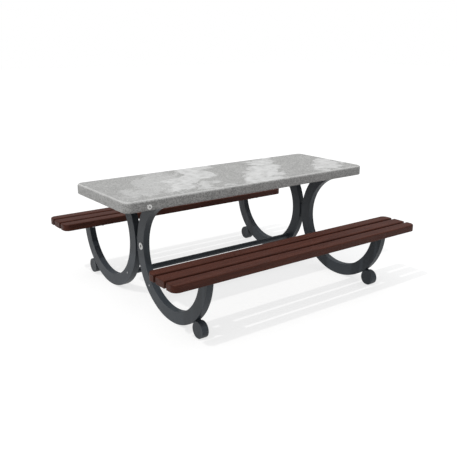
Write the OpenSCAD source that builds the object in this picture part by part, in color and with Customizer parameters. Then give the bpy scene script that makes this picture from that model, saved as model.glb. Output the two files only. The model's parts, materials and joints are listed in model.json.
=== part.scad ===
// Picnic table: a concrete top on two end frames of bent box section, with two plank seats.
// Origin on the ground under the middle of the table, X along its length, Z up, millimetres.

/* [Tabletop] */
// Length of the concrete slab
slab_length = 1950; // [1800:1:2100]
// Width of the concrete slab
slab_width = 682; // [650:1:760]
// Thickness of the concrete slab
slab_thick = 67; // [55:1:80]
// Height of the eating surface above the ground
slab_top = 760; // [740:1:780]
// Radius of the slab's four corners seen from above
slab_corner = 45; // [20:1:90]
// Rounding along the slab's upper edge
slab_upper_round = 15; // [6:1:20]
// Rounding along the slab's lower edge
slab_lower_round = 8; // [2:1:12]

/* [End frames] */
// Distance from the middle of the table to the middle of each end frame
frame_x = 711; // [660:1:760]
// Outer radius of each bent tube
ring_out = 391; // [380:1:400]
// Depth of the hollow section, measured along the radius
tube_depth = 80; // [70:1:90]
// Width of the hollow section, measured along the table
tube_width = 44; // [40:1:50]
// Wall thickness of the hollow section
tube_wall = 4; // [3:0.5:5]
// Rounding of the hollow section's outer corners
tube_round = 1.5; // [1:0.5:6]
// Distance from the table's centre line to the centre of each bend
ring_y = 402; // [400:1:410]
// Height of the spacer welded between the two bends of a frame
spacer_height = 100; // [60:1:140]

/* [Feet] */
// Distance from the table's centre line to the centre of each foot
foot_y = 688.5; // [686:0.5:692]
// Outer diameter of the foot tube
foot_dia = 101.6; // [98:0.1:102]
// Wall thickness of the foot tube and of its covers
foot_wall = 4; // [3:0.5:5]
// Depth of the flat on which the foot stands
foot_flat = 1; // [0.5:0.5:2]

/* [Seats] */
// Length of the seat planks
seat_length = 1956; // [1800:1:2100]
// Height of the sitting surface above the ground
seat_top = 425; // [415:1:435]
// Thickness of the planks
plank_thick = 47; // [40:0.5:50]
// Width of the two side planks of a seat
side_plank = 75.5; // [70:0.5:90]
// Width of the middle plank of a seat
middle_plank = 86; // [75:0.5:100]
// Gap between neighbouring planks
plank_gap = 24; // [8:1:30]
// Distance from the table's centre line to the middle of a seat
seat_y = 703.5; // [695:0.5:710]
// Radius of the seat's four corners seen from above
seat_corner = 42; // [20:1:50]
// Rounding along the planks' upper edges
plank_round = 8; // [3:0.5:10]
// Rounding along the planks' lower edges
plank_lower_round = 4; // [2:0.5:8]
// Thickness of the bar under the planks
bar_thick = 8; // [6:1:10]
// Width of the bar under the planks
bar_width = 100; // [90:1:120]

/* [Rails] */
// Outer diameter of the two rails that join the frames
rail_dia = 38; // [30:0.5:42]
// Wall thickness of the rails
rail_wall = 2.5; // [2:0.5:4]
// Distance from the table's centre line to each rail
rail_y = 146; // [140:1:150]
// Height of the rails above the ground
rail_z = 153; // [148:1:162]

/* [Discs] */
// Diameter of the bright disc on the end frame
leg_disc_dia = 47; // [40:1:60]
// Diameter of the bright disc on the slab's edge
slab_disc_dia = 31; // [28:1:40]
// Distance from the middle of the table to the slab disc
slab_disc_x = 819; // [780:1:860]
// Distance from the table's centre line to the leg disc
leg_disc_y = 60; // [48:1:66]
// Distance from the eating surface down to the slab disc
slab_disc_drop = 44; // [30:1:44]
// Thickness of both discs
disc_thick = 3; // [2:0.5:4]

/* [Hidden] */
$fn = 96;

slab_base = slab_top - slab_thick;
ring_z = ring_out;
ring_mid = ring_out - tube_depth / 2;
// Three flats to each corner of the hollow section, so that its bends can be cut cleanly
tube_corner_sides = 12;
cap_thick = 4;
arc_top = slab_base - cap_thick;
seat_width = 2 * side_plank + middle_plank + 2 * plank_gap;
seat_base = seat_top - plank_thick;
bar_base = seat_base - bar_thick;
bar_length = 220;
foot_r = foot_dia / 2;
foot_z = foot_r - foot_flat;
neck_width = 26;
neck_overlap = 6;
neck_inset = 2;
spacer_depth = 80;
spacer_inset = 9;
plate_thick = 8;
plate_width = 100;
plate_reach = 158;
slab_bolt_x = 35;
slab_bolt_y = 105;
slab_bolt_dia = 10;
slab_bolt_hole = 11;
slab_washer_dia = 20;
slab_washer_thick = 2;
insert_dia = 16;
insert_depth = 40;
slab_thread_depth = 30;
slab_thread_reach = 26;
rail_bolt_dia = 8;
rail_bolt_hole = 9;
rail_bolt_head_dia = 14;
rail_bolt_head = 4.4;
rail_bolt_socket = 5.8;
rail_bolt_socket_depth = 2.6;
rail_sleeve_dia = 16;
plug_length = 32;
thread_depth = 28;
thread_reach = 25;
seat_screw_dia = 8;
seat_screw_hole = 9;
seat_screw_reach = 30;
seat_pilot_depth = 34;
seat_washer_dia = 16;
seat_washer_thick = 1.6;
seat_screw_x = 36;
hex_m8 = 13;
hex_m10 = 16;
hex_m8_height = 5.3;
hex_m10_height = 6.4;
disc_hole_share = 0.39;
disc_screw_length = 24;
disc_screw_dia = 6;
disc_edge_round = 1;
disc_back_round = 0.2;
disc_screw_sink = 0.6;
slab_disc_z = slab_top - slab_disc_drop;
far = 1200;

frame_paint = [0.16, 0.17, 0.18];
wood_brown = [0.30, 0.18, 0.15];
concrete_grey = [0.62, 0.62, 0.60];
steel_bright = [0.80, 0.80, 0.80];
zinc_grey = [0.62, 0.63, 0.65];
screw_dark = [0.12, 0.12, 0.13];

// Rows of screws under a seat, counted from the seat's middle towards the outside of the table
screw_rows = [-96, 0, 96];

// ---- shared shapes ----

// A rectangle with round corners, centred on the origin, with a number of sides to a full turn
module rounded_rectangle(size, radius, sides) {
    square([size.x - 2 * radius, size.y], center = true);
    square([size.x, size.y - 2 * radius], center = true);
    for (sx = [-1, 1], sy = [-1, 1])
        translate([sx * (size.x / 2 - radius), sy * (size.y / 2 - radius)])
            circle(radius, $fn = sides);
}

// Half of a board's cross-section, from its middle to an edge that is round above and below
module edge_profile(reach, thick, upper, lower) {
    square([reach - lower, thick / 2]);
    translate([0, thick / 2]) square([reach - upper, thick / 2]);
    translate([0, lower]) square([reach, thick - upper - lower]);
    translate([reach - upper, thick - upper]) intersection() {
        circle(upper);
        square(upper);
    }
    translate([reach - lower, lower]) intersection() {
        circle(lower);
        translate([0, -lower]) square(lower);
    }
}

// A board lying on z = 0, with round corners in plan and round edges
module rounded_board(length, width, thick, corner, upper, lower) {
    for (sx = [-1, 1], sy = [-1, 1])
        translate([sx * (length / 2 - corner), sy * (width / 2 - corner), 0])
            rotate_extrude() edge_profile(corner, thick, upper, lower);
    for (turn = [0, 180]) {
        rotate([0, 0, turn]) rotate([90, 0, 0])
            linear_extrude(width - 2 * corner, center = true)
                edge_profile(length / 2, thick, upper, lower);
        rotate([0, 0, turn + 90]) rotate([90, 0, 0])
            linear_extrude(length - 2 * corner, center = true)
                edge_profile(width / 2, thick, upper, lower);
    }
}

// A hexagon head with its flat base on z = 0, pointing down
module hex_head(across_flats, height) {
    translate([0, 0, -height]) cylinder(d = across_flats / cos(30), h = height, $fn = 6);
}

// A closed bend of solid or hollow section, centred on the bend's axis, which lies along X.
// The turn starts above the seat, in the stretch that every bend has cut away.
module bend(hollow) {
    rotate([135, 0, 0]) rotate([0, 90, 0]) rotate_extrude($fn = 180) translate([ring_mid, 0]) difference() {
        rounded_rectangle([tube_depth, tube_width], tube_round, tube_corner_sides);
        if (hollow)
            square([tube_depth - 2 * tube_wall, tube_width - 2 * tube_wall], center = true);
    }
}

// Places a piece of one side: end -1 is left and 1 is right, side -1 is front and 1 is rear.
// The piece is drawn for the rear side, about the middle of its end frame.
module placed(end, side) {
    translate([end * frame_x, 0, 0]) mirror([0, side < 0 ? 1 : 0, 0]) children();
}

// ---- tabletop ----

module slab_bolt_places() {
    for (end = [-1, 1], dx = [-1, 1], sy = [-1, 1])
        translate([end * frame_x + dx * slab_bolt_x, sy * slab_bolt_y, slab_base]) children();
}

module tabletop_slab() {
    color(concrete_grey) difference() {
        translate([0, 0, slab_base])
            rounded_board(slab_length, slab_width, slab_thick, slab_corner,
                slab_upper_round, slab_lower_round);
        slab_bolt_places() translate([0, 0, -1]) cylinder(d = insert_dia, h = insert_depth + 1);
        translate([-slab_disc_x, -slab_width / 2 - 1, slab_disc_z]) rotate([-90, 0, 0])
            cylinder(d = disc_screw_dia, h = disc_screw_length + 1);
    }
}

module slab_inserts() {
    color(zinc_grey) slab_bolt_places() difference() {
        cylinder(d = insert_dia, h = insert_depth);
        translate([0, 0, -1]) cylinder(d = slab_bolt_dia, h = slab_thread_depth + 1);
    }
}

module slab_bolts() {
    head_seat = -plate_thick - slab_washer_thick;
    color(zinc_grey) slab_bolt_places() {
        translate([0, 0, head_seat])
            cylinder(d = slab_bolt_dia, h = slab_thread_reach - head_seat);
        translate([0, 0, head_seat]) hex_head(hex_m10, hex_m10_height);
    }
}

module slab_washers() {
    color(zinc_grey) slab_bolt_places()
        translate([0, 0, -plate_thick - slab_washer_thick]) difference() {
            cylinder(d = slab_washer_dia, h = slab_washer_thick);
            translate([0, 0, -1]) cylinder(d = slab_bolt_hole, h = slab_washer_thick + 2);
        }
}

// ---- end frames ----

module top_plate(end) {
    color(frame_paint) difference() {
        translate([end * frame_x - plate_width / 2, -plate_reach, slab_base - plate_thick])
            cube([plate_width, 2 * plate_reach, plate_thick]);
        for (side = [-1, 1])
            translate([end * frame_x, side * ring_y, ring_z]) rotate([0, 90, 0])
                cylinder(r = ring_out, h = plate_width + 2, center = true, $fn = 180);
        slab_bolt_places() translate([0, 0, -plate_thick - 1])
            cylinder(d = slab_bolt_hole, h = plate_thick + 2);
    }
}

module left_top_plate() { top_plate(-1); }
module right_top_plate() { top_plate(1); }

module waist_spacer(end) {
    color(frame_paint) difference() {
        translate([end * frame_x, 0, ring_z])
            cube([tube_width - 2 * spacer_inset, spacer_depth, spacer_height], center = true);
        for (side = [-1, 1])
            translate([end * frame_x, side * ring_y, ring_z]) rotate([0, 90, 0])
                cylinder(r = ring_out, h = tube_width, center = true, $fn = 180);
    }
}

module left_waist_spacer() { waist_spacer(-1); }
module right_waist_spacer() { waist_spacer(1); }

module arc(end, side) {
    color(frame_paint) placed(end, side) difference() {
        translate([0, ring_y, ring_z]) bend(true);
        translate([-tube_width, -far / 2, arc_top]) cube([2 * tube_width, 2 * far, far]);
        translate([-tube_width, ring_y, bar_base]) cube([2 * tube_width, far, far]);
        translate([-tube_width, rail_y, rail_z]) rotate([0, 90, 0])
            cylinder(d = rail_bolt_hole, h = 2 * tube_width);
        if (end < 0 && side < 0)
            translate([-tube_width, leg_disc_y, ring_z]) rotate([0, 90, 0])
                cylinder(d = disc_screw_dia, h = tube_width);
    }
}

module left_front_arc() { arc(-1, -1); }
module left_rear_arc() { arc(-1, 1); }
module right_front_arc() { arc(1, -1); }
module right_rear_arc() { arc(1, 1); }

module arc_cap(end, side) {
    color(frame_paint) placed(end, side) intersection() {
        translate([0, ring_y, ring_z]) bend(false);
        translate([-tube_width, 0, arc_top]) cube([2 * tube_width, ring_y, cap_thick]);
    }
}

module left_front_arc_cap() { arc_cap(-1, -1); }
module left_rear_arc_cap() { arc_cap(-1, 1); }
module right_front_arc_cap() { arc_cap(1, -1); }
module right_rear_arc_cap() { arc_cap(1, 1); }

// ---- feet ----

// Turns from the foot's centre towards the centre of the bend
foot_lean = atan2(ring_z - foot_z, foot_y - ring_y);

module foot(end, side) {
    color(frame_paint) placed(end, side) difference() {
        translate([0, foot_y, foot_z]) {
            rotate([0, 90, 0]) cylinder(d = foot_dia, h = tube_width, center = true);
            rotate([180 - foot_lean, 0, 0])
                translate([neck_inset - tube_width / 2, 0, -neck_width / 2])
                    cube([tube_width - 2 * neck_inset, foot_r + neck_overlap, neck_width]);
        }
        translate([0, foot_y, foot_z]) rotate([0, 90, 0])
            cylinder(d = foot_dia - 2 * foot_wall, h = tube_width + 2, center = true);
        translate([0, ring_y, ring_z]) rotate([0, 90, 0])
            cylinder(r = ring_out, h = tube_width + 2, center = true, $fn = 180);
        translate([-tube_width, foot_y - foot_r, -2 * foot_r])
            cube([2 * tube_width, foot_dia, 2 * foot_r]);
    }
}

module left_front_foot() { foot(-1, -1); }
module left_rear_foot() { foot(-1, 1); }
module right_front_foot() { foot(1, -1); }
module right_rear_foot() { foot(1, 1); }

module foot_covers(end, side) {
    color(frame_paint) placed(end, side)
        for (face = [-1, 1])
            translate([face * (tube_width - foot_wall) / 2, foot_y, foot_z]) rotate([0, 90, 0])
                cylinder(d = foot_dia - 2 * foot_wall, h = foot_wall, center = true);
}

module left_front_foot_covers() { foot_covers(-1, -1); }
module left_rear_foot_covers() { foot_covers(-1, 1); }
module right_front_foot_covers() { foot_covers(1, -1); }
module right_rear_foot_covers() { foot_covers(1, 1); }

// ---- seats ----

module seat_screw_places() {
    for (end = [-1, 1], dx = [-1, 1], row = screw_rows)
        translate([end * frame_x + dx * seat_screw_x, seat_y + row, seat_base]) children();
}

module seat_bar(end, side) {
    color(frame_paint) placed(end, side) difference() {
        translate([-bar_width / 2, seat_y - bar_length / 2, bar_base])
            cube([bar_width, bar_length, bar_thick]);
        for (dx = [-1, 1], row = screw_rows)
            translate([dx * seat_screw_x, seat_y + row, bar_base - 1])
                cylinder(d = seat_screw_hole, h = bar_thick + 2);
    }
}

module left_front_seat_bar() { seat_bar(-1, -1); }
module left_rear_seat_bar() { seat_bar(-1, 1); }
module right_front_seat_bar() { seat_bar(1, -1); }
module right_rear_seat_bar() { seat_bar(1, 1); }

// One plank: the whole seat board, kept between two heights across the seat
module plank(side, low, high) {
    color(wood_brown) mirror([0, side < 0 ? 1 : 0, 0]) difference() {
        translate([0, seat_y, seat_base]) intersection() {
            rounded_board(seat_length, seat_width, plank_thick, seat_corner,
                plank_round, plank_lower_round);
            for (turn = [0, 180])
                translate([0, (low + high) / 2, 0]) rotate([90, 0, 90 + turn])
                    linear_extrude(seat_length + 2, center = true)
                        edge_profile((high - low) / 2, plank_thick, plank_round,
                            plank_lower_round);
        }
        seat_screw_places() translate([0, 0, -1])
            cylinder(d = seat_screw_dia, h = seat_pilot_depth + 1);
    }
}

// The side planks' bars run past the board, so that its own round edge shows there
past_edge = 20;
middle_edge = middle_plank / 2;
side_edge = middle_edge + plank_gap;
board_edge = seat_width / 2 + past_edge;

module inner_plank(side) { plank(side, -board_edge, -side_edge); }
module central_plank(side) { plank(side, -middle_edge, middle_edge); }
module outer_plank(side) { plank(side, side_edge, board_edge); }

module front_seat_inner_plank() { inner_plank(-1); }
module front_seat_middle_plank() { central_plank(-1); }
module front_seat_outer_plank() { outer_plank(-1); }
module rear_seat_inner_plank() { inner_plank(1); }
module rear_seat_middle_plank() { central_plank(1); }
module rear_seat_outer_plank() { outer_plank(1); }

module seat_screws(side) {
    head_seat = -bar_thick - seat_washer_thick;
    color(zinc_grey) mirror([0, side < 0 ? 1 : 0, 0]) seat_screw_places() {
        translate([0, 0, head_seat])
            cylinder(d = seat_screw_dia, h = seat_screw_reach - head_seat);
        translate([0, 0, head_seat]) hex_head(hex_m8, hex_m8_height);
    }
}

module front_seat_screws() { seat_screws(-1); }
module rear_seat_screws() { seat_screws(1); }

module seat_washers(side) {
    color(zinc_grey) mirror([0, side < 0 ? 1 : 0, 0]) seat_screw_places()
        translate([0, 0, -bar_thick - seat_washer_thick]) difference() {
            cylinder(d = seat_washer_dia, h = seat_washer_thick);
            translate([0, 0, -1]) cylinder(d = seat_screw_hole, h = seat_washer_thick + 2);
        }
}

module front_seat_washers() { seat_washers(-1); }
module rear_seat_washers() { seat_washers(1); }

// ---- rails ----

rail_length = 2 * frame_x - tube_width;

// The four places where a rail meets a frame, with +Z turned outwards along the rail
module rail_end_places() {
    for (end = [-1, 1], side = [-1, 1])
        translate([end * rail_length / 2, side * rail_y, rail_z]) rotate([0, end * 90, 0])
            children();
}

module rail(side) {
    color(frame_paint) translate([0, side * rail_y, rail_z]) rotate([0, 90, 0]) difference() {
        cylinder(d = rail_dia, h = rail_length, center = true);
        cylinder(d = rail_dia - 2 * rail_wall, h = rail_length + 2, center = true);
    }
}

module front_rail() { rail(-1); }
module rear_rail() { rail(1); }

module rail_plugs() {
    color(zinc_grey) rail_end_places() difference() {
        translate([0, 0, -plug_length]) cylinder(d = rail_dia - 2 * rail_wall, h = plug_length);
        translate([0, 0, -thread_depth]) cylinder(d = rail_bolt_dia, h = thread_depth + 1);
    }
}

module rail_sleeves() {
    color(zinc_grey) rail_end_places() translate([0, 0, tube_wall]) difference() {
        cylinder(d = rail_sleeve_dia, h = tube_width - 2 * tube_wall);
        translate([0, 0, -1]) cylinder(d = rail_bolt_hole, h = tube_width);
    }
}

module rail_bolts() {
    color(steel_bright) rail_end_places() difference() {
        union() {
            translate([0, 0, -thread_reach])
                cylinder(d = rail_bolt_dia, h = thread_reach + tube_width);
            translate([0, 0, tube_width]) dome_head(rail_bolt_head_dia, rail_bolt_head);
        }
        translate([0, 0, tube_width + rail_bolt_head - rail_bolt_socket_depth])
            cylinder(d = rail_bolt_socket, h = rail_bolt_head, $fn = 6);
    }
}

// A low dome with its flat base on z = 0
module dome_head(dia, height) {
    ball = (dia * dia / 4 + height * height) / (2 * height);
    rotate_extrude() intersection() {
        translate([0, height - ball]) circle(ball);
        square([dia / 2, height]);
    }
}

// ---- discs ----

// Turns +Z towards the left end, where the leg disc sits
module leg_disc_place() {
    translate([-frame_x - tube_width / 2, -leg_disc_y, ring_z]) rotate([0, -90, 0]) children();
}

// Turns +Z towards the front, where the slab disc sits
module slab_disc_place() {
    translate([-slab_disc_x, -slab_width / 2, slab_disc_z]) rotate([90, 0, 0]) children();
}

module disc(dia) {
    color(steel_bright) rotate_extrude() difference() {
        edge_profile(dia / 2, disc_thick, disc_edge_round, disc_back_round);
        square([dia / 2 * disc_hole_share, 2 * disc_thick]);
    }
}

module disc_screw(dia) {
    color(screw_dark) {
        cylinder(r = dia / 2 * disc_hole_share, h = disc_thick - disc_screw_sink);
        translate([0, 0, -disc_screw_length]) cylinder(d = disc_screw_dia, h = disc_screw_length);
    }
}

module leg_disc() { leg_disc_place() disc(leg_disc_dia); }
module slab_disc() { slab_disc_place() disc(slab_disc_dia); }
module leg_disc_screw() { leg_disc_place() disc_screw(leg_disc_dia); }
module slab_disc_screw() { slab_disc_place() disc_screw(slab_disc_dia); }

tabletop_slab();
slab_inserts();
slab_bolts();
slab_washers();
left_top_plate();
right_top_plate();
left_waist_spacer();
right_waist_spacer();
left_front_arc();
left_rear_arc();
right_front_arc();
right_rear_arc();
left_front_arc_cap();
left_rear_arc_cap();
right_front_arc_cap();
right_rear_arc_cap();
left_front_foot();
left_rear_foot();
right_front_foot();
right_rear_foot();
left_front_foot_covers();
left_rear_foot_covers();
right_front_foot_covers();
right_rear_foot_covers();
left_front_seat_bar();
left_rear_seat_bar();
right_front_seat_bar();
right_rear_seat_bar();
front_rail();
rear_rail();
rail_plugs();
rail_sleeves();
rail_bolts();
front_seat_inner_plank();
front_seat_middle_plank();
front_seat_outer_plank();
rear_seat_inner_plank();
rear_seat_middle_plank();
rear_seat_outer_plank();
front_seat_screws();
rear_seat_screws();
front_seat_washers();
rear_seat_washers();
leg_disc();
slab_disc();
leg_disc_screw();
slab_disc_screw();
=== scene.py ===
"""Looks of a picnic table: a smooth concrete top on two end frames of bent box section, with two
seats of stained timber planks. Everything is in metres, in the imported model's frame."""

import json
import math

import bpy
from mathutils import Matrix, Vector


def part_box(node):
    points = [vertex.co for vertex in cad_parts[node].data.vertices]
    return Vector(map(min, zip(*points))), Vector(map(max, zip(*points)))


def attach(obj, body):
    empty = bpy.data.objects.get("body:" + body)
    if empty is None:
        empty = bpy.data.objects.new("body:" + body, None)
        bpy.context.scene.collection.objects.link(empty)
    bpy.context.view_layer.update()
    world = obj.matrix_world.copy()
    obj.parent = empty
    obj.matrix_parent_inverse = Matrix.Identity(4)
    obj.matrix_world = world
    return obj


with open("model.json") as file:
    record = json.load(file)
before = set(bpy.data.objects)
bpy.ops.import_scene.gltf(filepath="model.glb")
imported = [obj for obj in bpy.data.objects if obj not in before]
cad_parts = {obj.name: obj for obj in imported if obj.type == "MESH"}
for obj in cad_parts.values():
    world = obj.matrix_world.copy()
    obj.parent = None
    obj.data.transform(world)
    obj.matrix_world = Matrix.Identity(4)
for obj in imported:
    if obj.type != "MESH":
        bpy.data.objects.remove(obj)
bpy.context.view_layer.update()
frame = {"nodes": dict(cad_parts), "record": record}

SLAB_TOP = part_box("tabletop_slab")[1][2]


# ---- camera, light and floor ----

SENSOR_WIDTH = 36
LENS = 49.564
CAMERA_PLACE = (-2.5436, -3.4253, 1.6099)
LOOK_DOWN = 16.263
LOOK_RIGHT = 36.584


def make_camera():
    """Stands to the left of the table's front, above its top, and looks slightly down."""
    data = bpy.data.cameras.new("camera")
    data.sensor_width = SENSOR_WIDTH
    data.lens = LENS
    camera = bpy.data.objects.new("camera", data)
    camera.location = CAMERA_PLACE
    camera.rotation_euler = (math.radians(90 - LOOK_DOWN), 0, math.radians(-LOOK_RIGHT))
    bpy.context.collection.objects.link(camera)
    bpy.context.scene.camera = camera


class Graph:
    """Adds nodes to a tree. An input is a number, a colour, or another node's output socket."""

    def __init__(self, tree):
        self.tree = tree

    def add(self, kind, inputs=(), **settings):
        node = self.tree.nodes.new(kind)
        for name, value in settings.items():
            setattr(node, name, value)
        for name, value in dict(inputs).items():
            self.feed(node.inputs[name], value)
        return node

    def feed(self, socket, value):
        if isinstance(value, bpy.types.NodeSocket):
            self.tree.links.new(value, socket)
        else:
            socket.default_value = value

    def math(self, operation, first, second=0.0):
        return self.add("ShaderNodeMath", {0: first, 1: second}, operation=operation).outputs[0]

    def ramp(self, value, low, high, start=0.0, end=1.0):
        """Maps value from low..high to start..end, and holds it there."""
        inputs = {"Value": value, "From Min": low, "From Max": high, "To Min": start, "To Max": end}
        return self.add("ShaderNodeMapRange", inputs).outputs["Result"]

    def blend(self, share, first, second, mode="MIX"):
        """Blends two colours."""
        node = self.add("ShaderNodeMix", data_type="RGBA", blend_type=mode)
        for index, value in ((0, share), (6, first), (7, second)):
            self.feed(node.inputs[index], value)
        return node.outputs[2]

    def noise(self, place, scale, detail=3.0, roughness=0.5, distortion=0.0):
        """Cloudy noise from 0 to 1, with scale in cells per metre."""
        inputs = {"Vector": place, "Scale": scale, "Detail": detail, "Roughness": roughness,
                  "Distortion": distortion}
        return self.add("ShaderNodeTexNoise", inputs).outputs["Fac"]


SKY_HORIZON = 0.12
SKY_ZENITH = 1.17
SUN_DIRECTION = Vector((-0.529, -0.053, 0.847))
SUN_STRENGTH = 1.20
SUN_ANGLE = math.radians(0.8)


def make_sky():
    """A soft sky that is brightest overhead. The camera itself sees plain white behind the table."""
    world = bpy.data.worlds.new("studio")
    bpy.context.scene.world = world
    world.use_nodes = True
    world.node_tree.nodes.clear()
    graph = Graph(world.node_tree)
    direction = graph.add("ShaderNodeTexCoord").outputs["Generated"]
    height = graph.add("ShaderNodeSeparateXYZ", {"Vector": direction}).outputs["Z"]
    strength = graph.ramp(height, 0.0, 1.0, SKY_HORIZON, SKY_ZENITH)
    light = graph.add("ShaderNodeBackground", {"Strength": strength, "Color": (0.98, 0.99, 1, 1)})
    white = graph.add("ShaderNodeBackground", {"Strength": 1.0, "Color": (1, 1, 1, 1)})
    seen = graph.add("ShaderNodeLightPath").outputs["Is Camera Ray"]
    either = graph.add("ShaderNodeMixShader", {0: seen, 1: light.outputs[0], 2: white.outputs[0]})
    graph.add("ShaderNodeOutputWorld", {"Surface": either.outputs[0]})


def make_sun():
    """A sun high on the left, whose shadows fall to the right."""
    data = bpy.data.lights.new("sun", "SUN")
    data.energy = SUN_STRENGTH
    data.angle = SUN_ANGLE
    data.color = (1.0, 0.985, 0.96)
    sun = bpy.data.objects.new("sun", data)
    sun.rotation_euler = SUN_DIRECTION.to_track_quat("Z", "Y").to_euler()
    bpy.context.collection.objects.link(sun)


FLOOR_GLOW = 0.72
FLOOR_SEEN = 0.33
FLOOR_BOUNCE = 0.28
FLOOR_HALF = 40


def make_floor():
    """A pale studio floor: bright to the eye and in reflections, and dimmer as a source of light."""
    mesh = bpy.data.meshes.new("floor")
    outline = [(x * FLOOR_HALF, y * FLOOR_HALF, 0) for x, y in ((-1, -1), (1, -1), (1, 1), (-1, 1))]
    mesh.from_pydata(outline, [], [(0, 1, 2, 3)])
    floor = bpy.data.objects.new("floor", mesh)
    bpy.context.collection.objects.link(floor)
    material = bpy.data.materials.new("floor")
    material.use_nodes = True
    material.node_tree.nodes.clear()
    graph = Graph(material.node_tree)
    glow = graph.add("ShaderNodeEmission", {"Strength": FLOOR_GLOW, "Color": (1, 1, 1, 1)})
    matt = graph.add("ShaderNodeBsdfDiffuse", {"Color": (FLOOR_SEEN,) * 3 + (1,)})
    bright = graph.add("ShaderNodeAddShader", {0: glow.outputs[0], 1: matt.outputs[0]})
    dim = graph.add("ShaderNodeBsdfDiffuse", {"Color": (FLOOR_BOUNCE,) * 3 + (1,)})
    path = graph.add("ShaderNodeLightPath").outputs
    seen = graph.math("MAXIMUM", path["Is Camera Ray"], path["Is Glossy Ray"])
    either = graph.add("ShaderNodeMixShader", {0: seen, 1: dim.outputs[0], 2: bright.outputs[0]})
    graph.add("ShaderNodeOutputMaterial", {"Surface": either.outputs[0]})
    mesh.materials.append(material)


# ---- materials ----

def new_material(name):
    """Returns a material with its graph, its shader, and the place on the table in metres."""
    material = bpy.data.materials.new(name)
    material.use_nodes = True
    graph = Graph(material.node_tree)
    place = graph.add("ShaderNodeTexCoord").outputs["Object"]
    return material, graph, material.node_tree.nodes["Principled BSDF"], place


def finish_shader(graph, shader, color, roughness, height, relief, **fixed):
    """Joins colour, roughness and a bump of the given relief in metres to the shader."""
    bump = graph.add("ShaderNodeBump", {"Height": height, "Distance": relief, "Strength": 1.0})
    graph.feed(shader.inputs["Base Color"], color)
    graph.feed(shader.inputs["Roughness"], roughness)
    graph.feed(shader.inputs["Normal"], bump.outputs["Normal"])
    for name, value in fixed.items():
        shader.inputs[name.replace("_", " ")].default_value = value


def stretched(graph, place, scale, shift=(0, 0, 0)):
    """The place, scaled by its own number along each axis, so a texture comes out drawn out."""
    inputs = {"Vector": place, "Scale": scale, "Location": shift}
    return graph.add("ShaderNodeMapping", inputs).outputs["Vector"]


# Patches of painted reflection, where the sky's clouds are painted pale into the slab's top: how far
# along, how far across, half length, half width, strength.
# They lean over: "along" is x less the lean times y.
REFLECTION_LEAN = 0.8
PAINTED_SKY_REFLECTIONS = (
    (-0.62, 0.00, 0.15, 0.34, 0.45),
    (-0.34, 0.08, 0.18, 0.42, 1.00),
    (-0.10, -0.26, 0.10, 0.12, 0.70),
    (0.29, -0.02, 0.17, 0.46, 1.00),
    (0.93, -0.15, 0.15, 0.24, 1.00),
)


def painted_sky_reflection(graph, place):
    """How strong the painted reflection of the sky's clouds is at a place on the slab's top, from 0 to
    1.
    """
    drift = graph.noise(place, 5.0, detail=5.0, roughness=0.6, distortion=0.6)
    wander = graph.ramp(drift, 0.3, 0.7, -0.13, 0.13)
    parts = graph.add("ShaderNodeSeparateXYZ", {"Vector": place}).outputs
    lean = graph.math("MULTIPLY", parts["Y"], REFLECTION_LEAN)
    along = graph.math("ADD", graph.math("SUBTRACT", parts["X"], lean), wander)
    across = graph.math("SUBTRACT", parts["Y"], wander)
    total = None
    for middle, side, half_length, half_width, strength in PAINTED_SKY_REFLECTIONS:
        run = graph.math("DIVIDE", graph.math("SUBTRACT", along, middle), half_length)
        rise = graph.math("DIVIDE", graph.math("SUBTRACT", across, side), half_width)
        reach = graph.math("ADD", graph.math("POWER", graph.math("ABSOLUTE", run), 2.0),
                           graph.math("POWER", graph.math("ABSOLUTE", rise), 2.0))
        cloud = graph.ramp(reach, 1.0, 0.6, 0.0, strength)
        total = cloud if total is None else graph.math("MAXIMUM", total, cloud)
    wisps = graph.ramp(graph.noise(place, 16.0, detail=5.0, roughness=0.6), 0.35, 0.62, 0.45, 1.0)
    on_top = graph.ramp(parts["Z"], SLAB_TOP - 0.006, SLAB_TOP - 0.001)
    return graph.math("MULTIPLY", graph.math("MULTIPLY", total, wisps), on_top)


SAND_DARK = (0.22, 0.219, 0.214, 1)
SAND_PALE = (0.57, 0.568, 0.556, 1)
# Painted reflection: the colour and share of the pale sky-cloud patches painted into the slab's top.
SKY_REFLECTION_PAINT = (0.73, 0.73, 0.725, 1)
SKY_REFLECTION_COVER = 0.90
# Painted highlight: the pale colour and share painted along the slab's rounded upper edges.
ARRIS_HIGHLIGHT_COLOR = (0.68, 0.68, 0.67, 1)
ARRIS_HIGHLIGHT_COVER = 0.48
PIT_COLOR = (0.10, 0.10, 0.098, 1)
CONCRETE_RELIEF = 0.0003


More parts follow.
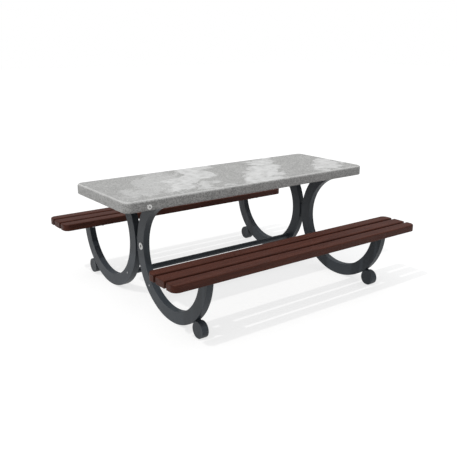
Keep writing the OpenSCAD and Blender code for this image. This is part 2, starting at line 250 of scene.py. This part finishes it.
def make_concrete():
    """Smooth, sealed concrete with fine sand and grit showing, faint mottling, a painted reflection of
    pale clouds on its top, and a painted highlight along its rounded upper edges."""
    material, graph, shader, place = new_material("concrete")
    grit = graph.add("ShaderNodeTexVoronoi", {"Vector": place, "Scale": 190.0}).outputs["Color"]
    grit = graph.add("ShaderNodeSeparateColor", {"Color": grit}).outputs["Red"]
    sand = graph.noise(place, 700.0, detail=2.0)
    mottle = graph.noise(place, 9.0, detail=5.0, roughness=0.6)
    grain = graph.math("ADD", graph.math("MULTIPLY", grit, 0.5), graph.math("MULTIPLY", sand, 0.5))
    grain = graph.ramp(grain, 0.2, 0.8)
    color = graph.blend(grain, SAND_DARK, SAND_PALE)
    tone = graph.ramp(mottle, 0.3, 0.7, 0.92, 1.07)
    color = graph.blend(1.0, color, graph.add("ShaderNodeCombineColor", {
        "Red": tone, "Green": tone, "Blue": tone}).outputs["Color"], mode="MULTIPLY")
    # Painted reflection of the sky's clouds, mixed into the top's colour.
    pale = graph.math("MULTIPLY", painted_sky_reflection(graph, place), SKY_REFLECTION_COVER)
    color = graph.blend(pale, color, SKY_REFLECTION_PAINT)
    tilt = graph.add("ShaderNodeNewGeometry").outputs["Normal"]
    tilt = graph.add("ShaderNodeSeparateXYZ", {"Vector": tilt}).outputs["Z"]
    # Painted highlight on the rounded upper edges, where the normal leans between straight up and
    # sideways.
    arris_highlight = graph.math("MULTIPLY", graph.ramp(tilt, 0.999, 0.95), graph.ramp(tilt, 0.3, 0.75))
    color = graph.blend(graph.math("MULTIPLY", arris_highlight, ARRIS_HIGHLIGHT_COVER), color, ARRIS_HIGHLIGHT_COLOR)
    pits = graph.add("ShaderNodeTexVoronoi", {"Vector": place, "Scale": 55.0}).outputs["Distance"]
    pits = graph.ramp(pits, 0.04, 0.09)
    color = graph.blend(pits, PIT_COLOR, color)
    height = graph.math("ADD", graph.math("MULTIPLY", grain, 0.3), pits)
    roughness = graph.ramp(mottle, 0.3, 0.7, 0.42, 0.52)
    finish_shader(graph, shader, color, roughness, height, CONCRETE_RELIEF,
                  Coat_Weight=0.12, Coat_Roughness=0.2, Specular_IOR_Level=0.35)
    return material


STAIN_DARK = (0.060, 0.0160, 0.0092, 1)
STAIN_RED = (0.104, 0.0310, 0.0185, 1)
FIBRE_COLOR = (0.044, 0.0118, 0.0072, 1)
PORE_COLOR = (0.018, 0.006, 0.005, 1)
TIMBER_RELIEF = 0.00025


def make_timber(name, index):
    """Red-brown stained timber, whose grain runs along the plank. Each plank has its own."""
    material, graph, shader, place = new_material(name)
    shift = (3.7 * index, 1.3 * index, 0.9 * index)
    bands = stretched(graph, place, (1.1, 14, 14), shift)
    figure = graph.noise(bands, 3.0, detail=4.0, roughness=0.55, distortion=0.8)
    fibres = graph.noise(stretched(graph, place, (6, 260, 260), shift), 2.0, detail=4.0, roughness=0.65)
    pores = graph.noise(stretched(graph, place, (14, 420, 420), shift), 3.0, detail=1.0)
    pores = graph.ramp(pores, 0.60, 0.68)
    streak = graph.ramp(figure, 0.32, 0.68)
    color = graph.blend(streak, STAIN_DARK, STAIN_RED)
    color = graph.blend(graph.ramp(fibres, 0.3, 0.7, 0.0, 0.45), color, FIBRE_COLOR)
    color = graph.blend(graph.math("MULTIPLY", pores, 0.6), color, PORE_COLOR)
    height = graph.math("SUBTRACT", graph.math("MULTIPLY", fibres, 0.6), pores)
    roughness = graph.ramp(fibres, 0.3, 0.7, 0.42, 0.56)
    finish_shader(graph, shader, color, roughness, height, TIMBER_RELIEF, Specular_IOR_Level=0.16)
    return material


COAT_DARK = (0.034, 0.042, 0.051, 1)
COAT_PALE = (0.042, 0.051, 0.062, 1)
COAT_SPECK = (0.07, 0.08, 0.09, 1)
COAT_RELIEF = 0.00018


def make_powder_coat():
    """Anthracite powder coat: satin, with the fine orange peel of a baked powder."""
    material, graph, shader, place = new_material("frame_coating")
    peel = graph.noise(place, 420.0, detail=2.0)
    speck = graph.noise(place, 1500.0, detail=1.0)
    cloud = graph.noise(place, 7.0, detail=3.0)
    color = graph.blend(graph.ramp(cloud, 0.3, 0.7), COAT_DARK, COAT_PALE)
    color = graph.blend(graph.ramp(speck, 0.62, 0.75, 0.0, 0.5), color, COAT_SPECK)
    height = graph.math("ADD", peel, graph.math("MULTIPLY", speck, 0.35))
    roughness = graph.ramp(peel, 0.3, 0.7, 0.42, 0.54)
    finish_shader(graph, shader, color, roughness, height, COAT_RELIEF, Specular_IOR_Level=0.36)
    return material


METAL_RELIEF = 0.00005
FINE_RELIEF = 0.00004


def grey(value):
    """A faintly warm grey."""
    return (value, value, value * 0.985, 1)


def make_turned_steel(name, dark, bright):
    """Stainless steel with the fine scratches of brushing."""
    material, graph, shader, place = new_material(name)
    scratch = graph.noise(stretched(graph, place, (700, 60, 1500)), 1.5, detail=3.0, roughness=0.7)
    smudge = graph.noise(place, 60.0, detail=3.0)
    color = graph.blend(graph.ramp(smudge, 0.3, 0.7), grey(dark), grey(bright))
    roughness = graph.ramp(scratch, 0.25, 0.75, 0.26, 0.46)
    finish_shader(graph, shader, color, roughness, scratch, METAL_RELIEF, Metallic=1.0)
    return material


def make_bolt_steel():
    """Stainless steel as forged and tumbled, greyer and rougher than the discs."""
    material, graph, shader, place = new_material("bolt_steel")
    cloud = graph.noise(place, 300.0, detail=3.0)
    color = graph.blend(cloud, (0.33, 0.33, 0.34, 1), (0.47, 0.47, 0.48, 1))
    roughness = graph.ramp(cloud, 0.3, 0.7, 0.50, 0.65)
    finish_shader(graph, shader, color, roughness, cloud, METAL_RELIEF, Metallic=0.9)
    return material


def make_zinc():
    """Zinc plating: a grey, slightly spangled and clouded metal."""
    material, graph, shader, place = new_material("zinc_steel")
    spangle = graph.add("ShaderNodeTexVoronoi", {"Vector": place, "Scale": 420.0}).outputs["Color"]
    spangle = graph.add("ShaderNodeSeparateColor", {"Color": spangle}).outputs["Green"]
    cloud = graph.noise(place, 130.0, detail=3.0)
    color = graph.blend(spangle, (0.44, 0.45, 0.47, 1), (0.60, 0.61, 0.63, 1))
    roughness = graph.ramp(cloud, 0.3, 0.7, 0.34, 0.56)
    finish_shader(graph, shader, color, roughness, cloud, FINE_RELIEF, Metallic=1.0)
    return material


def make_black_oxide(name, dark, bright):
    """Dark steel, dulled by its oxide, with a faint sheen."""
    material, graph, shader, place = new_material(name)
    cloud = graph.noise(place, 260.0, detail=3.0)
    color = graph.blend(cloud, grey(dark), grey(bright))
    roughness = graph.ramp(cloud, 0.3, 0.7, 0.38, 0.58)
    finish_shader(graph, shader, color, roughness, cloud, FINE_RELIEF, Metallic=0.6)
    return material


def dress(node, material):
    """Gives a CAD node its material."""
    mesh = frame["nodes"][node].data
    mesh.materials.clear()
    mesh.materials.append(material)


def dress_all():
    """Dresses every CAD node by its slot in the record, and returns the materials nodes share."""
    shared = {"concrete": make_concrete(), "frame_coating": make_powder_coat(),
              "bright_steel": make_turned_steel("bright_steel", 0.58, 0.68),
              "black_steel": make_black_oxide("black_steel", 0.28, 0.40),
              "zinc_steel": make_zinc()}
    planks = 0
    for part in frame["record"]["subparts"]:
        slot = part["material_slot"]
        if slot == "seat_timber":
            planks += 1
            dress(part["node"], make_timber(f"seat_timber_{planks}", planks))
        else:
            dress(part["node"], shared[slot])
    dress("leg_disc", make_turned_steel("leg_disc_steel", 0.40, 0.56))
    dress("leg_disc_screw", make_black_oxide("leg_screw_steel", 0.06, 0.11))
    dress("rail_bolts", make_bolt_steel())
    return shared


# ---- welds ----

# These sizes, in metres, are the part's own.
BEND_RADIUS = 0.391
FOOT_RADIUS = 0.0508
FOOT_FLAT = 0.001
NECK_HALF = 0.013
NECK_INSET = 0.002
TUBE_DEPTH = 0.080

# A bead's radius, the length of its ripples, and how it swells and thins out at its ends.
BEAD = 0.0022
RIPPLE = 0.0018
BEAD_SIDES = 8
BEAD_ENDS = (0.35, 0.8, 1.0)
BEAD_WAVE = 0.12


class Bead:
    """Collects rippled weld beads into one mesh."""

    def __init__(self):
        self.points = []
        self.faces = []

    def run(self, path, length):
        """Lays a bead along path, a function of 0..1 that returns a place, for a length in metres."""
        steps = max(6, round(length / (RIPPLE / 2)))
        start = len(self.points)
        for step in range(steps + 1):
            here = path(step / steps)
            ahead = (path(min(1, (step + 1) / steps)) - path(max(0, (step - 1) / steps))).normalized()
            across = ahead.orthogonal().normalized()
            up = ahead.cross(across)
            end = min(step, steps - step)
            radius = BEAD * BEAD_ENDS[min(end, 2)] * (1.0 + BEAD_WAVE * (-1) ** step)
            for side in range(BEAD_SIDES):
                turn = 2 * math.pi * side / BEAD_SIDES
                self.points.append(here + radius * (math.cos(turn) * across + math.sin(turn) * up))
        for step in range(steps):
            ring = start + step * BEAD_SIDES
            above = ring + BEAD_SIDES
            for side in range(BEAD_SIDES):
                beside = (side + 1) % BEAD_SIDES
                self.faces.append((ring + side, ring + beside, above + beside, above + side))
        last = start + steps * BEAD_SIDES
        self.faces.append(tuple(start + side for side in reversed(range(BEAD_SIDES))))
        self.faces.append(tuple(last + side for side in range(BEAD_SIDES)))

    def line(self, start, end):
        """Lays a straight bead."""
        start, end = Vector(start), Vector(end)
        self.run(lambda share: start.lerp(end, share), (end - start).length)

    def arc(self, x, centre, radius, middle, half):
        """Lays a bead on a circle across the table, about an angle, for half a length either way."""
        spread = half / radius

        def path(share):
            turn = middle + spread * (2 * share - 1)
            return Vector((x, centre[0] + radius * math.cos(turn), centre[1] + radius * math.sin(turn)))
        self.run(path, 2 * half)

    def build(self, name, material):
        """Makes one piece of all the beads laid."""
        mesh = bpy.data.meshes.new(name)
        mesh.from_pydata(self.points, [], self.faces)
        mesh.polygons.foreach_set("use_smooth", [True] * len(self.faces))
        mesh.materials.append(material)
        piece = bpy.data.objects.new(name, mesh)
        bpy.context.collection.objects.link(piece)
        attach(piece, "root")


def weld_foot(bead, end, side, sign):
    """The foot's neck, welded to the bend above it and to its own tube below."""
    low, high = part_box(f"{end}_{side}_foot")
    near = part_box(f"{end}_{side}_arc")
    bend = (sign * (min(abs(near[0][1]), abs(near[1][1])) + BEND_RADIUS), BEND_RADIUS)
    foot = (sign * (max(abs(low[1]), abs(high[1])) - FOOT_RADIUS), FOOT_RADIUS - FOOT_FLAT)
    down = math.atan2(foot[1] - bend[1], foot[0] - bend[0])
    up = down + math.pi
    for x in (low[0] + NECK_INSET, high[0] - NECK_INSET):
        bead.arc(x, bend, BEND_RADIUS, down, NECK_HALF)
        bead.arc(x, foot, FOOT_RADIUS, up, NECK_HALF)
    for centre, radius, toward in ((bend, BEND_RADIUS, down), (foot, FOOT_RADIUS, up)):
        for lean in (-1, 1):
            turn = toward + lean * NECK_HALF / radius
            y = centre[0] + radius * math.cos(turn)
            z = centre[1] + radius * math.sin(turn)
            bead.line((low[0] + NECK_INSET, y, z), (high[0] - NECK_INSET, y, z))


def weld_waist(bead, end):
    """The spacer between the two bends, welded to both along its two faces."""
    low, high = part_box(f"{end}_waist_spacer")
    half = (high[2] - low[2]) / 2
    for side, sign in (("front", -1), ("rear", 1)):
        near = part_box(f"{end}_{side}_arc")
        inner = min(abs(near[0][1]), abs(near[1][1]))
        centre = (sign * (inner + BEND_RADIUS), BEND_RADIUS)
        toward = math.pi if sign > 0 else 0.0
        for x in (low[0], high[0]):
            bead.arc(x, centre, BEND_RADIUS, toward, half)


def weld_bar(bead, end, side, sign):
    """The seat bar, welded round the cut end of the bend that carries it."""
    arc_low, arc_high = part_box(f"{end}_{side}_arc")
    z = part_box(f"{end}_{side}_seat_bar")[0][2]
    outer = max(abs(arc_low[1]), abs(arc_high[1]))
    ys = (sign * outer, sign * (outer - TUBE_DEPTH))
    for y in ys:
        bead.line((arc_low[0], y, z), (arc_high[0], y, z))
    for x in (arc_low[0], arc_high[0]):
        bead.line((x, ys[0], z), (x, ys[1], z))


def weld_frames(material):
    """Makes the welds of each end frame."""
    for end in ("left", "right"):
        bead = Bead()
        weld_waist(bead, end)
        for side, sign in (("front", -1), ("rear", 1)):
            weld_foot(bead, end, side, sign)
            weld_bar(bead, end, side, sign)
        bead.build(f"{end}_frame_welds", material)


bpy.context.scene.view_settings.view_transform = "Standard"
make_camera()
make_sky()
make_sun()
make_floor()
weld_frames(dress_all()["frame_coating"])
